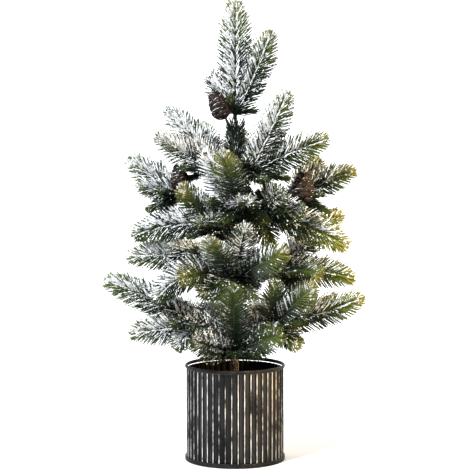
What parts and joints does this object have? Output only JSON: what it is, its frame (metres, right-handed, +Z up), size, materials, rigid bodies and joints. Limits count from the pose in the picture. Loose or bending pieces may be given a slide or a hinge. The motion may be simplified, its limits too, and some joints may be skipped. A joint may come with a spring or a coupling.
{
  "type": "artificial tabletop tree",
  "caption": "Flocked artificial fir with hand-bent wire branches and pine cones, standing in a fluted metal planter with rolled edges.",
  "frame": {"origin": "centre of the planter's flat underside", "axes": "+Z up along the trunk, -Y is the front that faces a viewer, +X to the right"},
  "size_m": [0.3389, 0.2708, 0.6012],
  "materials": {
    "galvanised_steel": "dark galvanised steel with a pale worn wash on the flute crests",
    "rolled_edge": "dark galvanised steel, rubbed bright along the rolled edge",
    "cement": "rough cast cement",
    "rod_steel": "plain drawn wire and rod",
    "paper_wrap": "brown crepe paper wound in a spiral, dusted with flock",
    "binding_tape": "brown floral tape",
    "stem_tape": "dark green tape wound over wire",
    "needles": "moulded green needles, lighter at the tips, with white flock on the upper sides",
    "cone_scales": "dark brown woody scales with white flocked lips"
  },
  "bodies": {
    "base": {"pot_wall": "galvanised_steel", "pot_rim": "rolled_edge", "pot_foot_band": "rolled_edge", "pot_base": "rolled_edge", "cement_weight": "cement", "trunk_rod": "rod_steel", "trunk_wrap": "paper_wrap", "tape_hem": "binding_tape", "tape_skirt": "binding_tape", "tape_waist": "binding_tape", "tape_shoulder": "binding_tape", "tape_crown": "binding_tape"},
    "leader": {"cone_pick_top": "rod_steel", "cone_top": "cone_scales", "sprig_leader": "needles", "stem_leader": "stem_tape"},
    "crown_right": {"sprig_crown_right": "needles", "stem_crown_right": "stem_tape"},
    "crown_left": {"sprig_crown_left": "needles", "stem_crown_left": "stem_tape"},
    "crown_back": {"sprig_crown_back": "needles", "stem_crown_back": "stem_tape"},
    "shoulder_front": {"sprig_shoulder_front": "needles", "stem_shoulder_front": "stem_tape"},
    "shoulder_left": {"cone_left": "cone_scales", "cone_pick_left": "rod_steel", "sprig_shoulder_left": "needles", "stem_shoulder_left": "stem_tape"},
    "shoulder_right": {"cone_pick_right": "rod_steel", "cone_right": "cone_scales", "sprig_shoulder_right": "needles", "stem_shoulder_right": "stem_tape"},
    "waist_left": {"sprig_waist_left": "needles", "stem_waist_left": "stem_tape"},
    "waist_right": {"sprig_waist_right": "needles", "stem_waist_right": "stem_tape"},
    "waist_back": {"cone_back": "cone_scales", "cone_pick_back": "rod_steel", "sprig_waist_back": "needles", "stem_waist_back": "stem_tape"},
    "skirt_front": {"sprig_skirt_front": "needles", "stem_skirt_front": "stem_tape"},
    "skirt_front_left": {"sprig_skirt_front_left": "needles", "stem_skirt_front_left": "stem_tape"},
    "skirt_left": {"sprig_skirt_left": "needles", "stem_skirt_left": "stem_tape"},
    "skirt_right": {"sprig_skirt_right": "needles", "stem_skirt_right": "stem_tape"},
    "skirt_back": {"sprig_skirt_back": "needles", "stem_skirt_back": "stem_tape"},
    "hem_left": {"sprig_hem_left": "needles", "stem_hem_left": "stem_tape"},
    "hem_right": {"sprig_hem_right": "needles", "stem_hem_right": "stem_tape"},
    "hem_front": {"sprig_hem_front": "needles", "stem_hem_front": "stem_tape"},
    "hem_back_left": {"sprig_hem_back_left": "needles", "stem_hem_back_left": "stem_tape"},
    "hem_back_right": {"sprig_hem_back_right": "needles", "stem_hem_back_right": "stem_tape"}
  },
  "joints": [
    {"name": "bend_leader", "type": "hinge", "parent": "base", "child": "leader", "pos_m": [0, 0, 0.44], "axis": [0, 1, 0], "range_deg": [-8, 8]},
    {"name": "bend_crown_right", "type": "hinge", "parent": "base", "child": "crown_right", "pos_m": [0.00606, -0.00424, 0.362], "axis": [-0.5736, -0.8192, 0], "range_deg": [-10, 12]},
    {"name": "bend_crown_left", "type": "hinge", "parent": "base", "child": "crown_left", "pos_m": [-0.00737, 0.00064, 0.362], "axis": [0.0872, 0.9962, 0], "range_deg": [-8, 14]},
    {"name": "bend_crown_back", "type": "hinge", "parent": "base", "child": "crown_back", "pos_m": [0.00128, 0.00729, 0.362], "axis": [0.9848, -0.1736, 0], "range_deg": [-10, 14]},
    {"name": "bend_shoulder_front", "type": "hinge", "parent": "base", "child": "shoulder_front", "pos_m": [0.00103, -0.00733, 0.318], "axis": [-0.9903, -0.1392, 0], "range_deg": [-12, 18]},
    {"name": "bend_shoulder_left", "type": "hinge", "parent": "base", "child": "shoulder_left", "pos_m": [-0.00715, 0.00192, 0.318], "axis": [0.2588, 0.9659, 0], "range_deg": [-12, 8]},
    {"name": "bend_shoulder_right", "type": "hinge", "parent": "base", "child": "shoulder_right", "pos_m": [0.00704, 0.00229, 0.318], "axis": [0.309, -0.9511, 0], "range_deg": [-12, 18]},
    {"name": "bend_waist_left", "type": "hinge", "parent": "base", "child": "waist_left", "pos_m": [-0.00686, -0.00277, 0.284], "axis": [-0.3746, 0.9272, 0], "range_deg": [-8, 18]},
    {"name": "bend_waist_right", "type": "hinge", "parent": "base", "child": "waist_right", "pos_m": [0.00724, -0.00154, 0.284], "axis": [-0.2079, -0.9781, 0], "range_deg": [-12, 12]},
    {"name": "bend_waist_back", "type": "hinge", "parent": "base", "child": "waist_back", "pos_m": [-0.00026, 0.00739, 0.284], "axis": [0.9994, 0.0349, 0], "range_deg": [-12, 18]},
    {"name": "bend_skirt_front", "type": "hinge", "parent": "base", "child": "skirt_front", "pos_m": [-0.00026, -0.00739, 0.232], "axis": [-0.9994, 0.0349, 0], "range_deg": [-12, 15]},
    {"name": "bend_skirt_front_left", "type": "hinge", "parent": "base", "child": "skirt_front_left", "pos_m": [-0.00456, -0.00583, 0.232], "axis": [-0.788, 0.6157, 0], "range_deg": [-12, 18]},
    {"name": "bend_skirt_left", "type": "hinge", "parent": "base", "child": "skirt_left", "pos_m": [-0.00724, 0.00154, 0.232], "axis": [0.2079, 0.9781, 0], "range_deg": [-12, 8]},
    {"name": "bend_skirt_right", "type": "hinge", "parent": "base", "child": "skirt_right", "pos_m": [0.00738, 0.00052, 0.232], "axis": [0.0698, -0.9976, 0], "range_deg": [-12, 14]},
    {"name": "bend_skirt_back", "type": "hinge", "parent": "base", "child": "skirt_back", "pos_m": [0.00026, 0.00739, 0.232], "axis": [0.9994, -0.0349, 0], "range_deg": [-12, 18]},
    {"name": "bend_hem_left", "type": "hinge", "parent": "base", "child": "hem_left", "pos_m": [-0.00724, -0.00154, 0.158], "axis": [-0.2079, 0.9781, 0], "range_deg": [-12, 18]},
    {"name": "bend_hem_right", "type": "hinge", "parent": "base", "child": "hem_right", "pos_m": [0.00704, -0.00229, 0.158], "axis": [-0.309, -0.9511, 0], "range_deg": [-12, 12]},
    {"name": "bend_hem_front", "type": "hinge", "parent": "base", "child": "hem_front", "pos_m": [0, -0.0074, 0.142], "axis": [-1, 0, 0], "range_deg": [-8, 14]},
    {"name": "bend_hem_back_left", "type": "hinge", "parent": "base", "child": "hem_back_left", "pos_m": [-0.00435, 0.00599, 0.158], "axis": [0.809, 0.5878, 0], "range_deg": [-12, 18]},
    {"name": "bend_hem_back_right", "type": "hinge", "parent": "base", "child": "hem_back_right", "pos_m": [0.00456, 0.00583, 0.158], "axis": [0.788, -0.6157, 0], "range_deg": [-12, 18]}
  ]
}
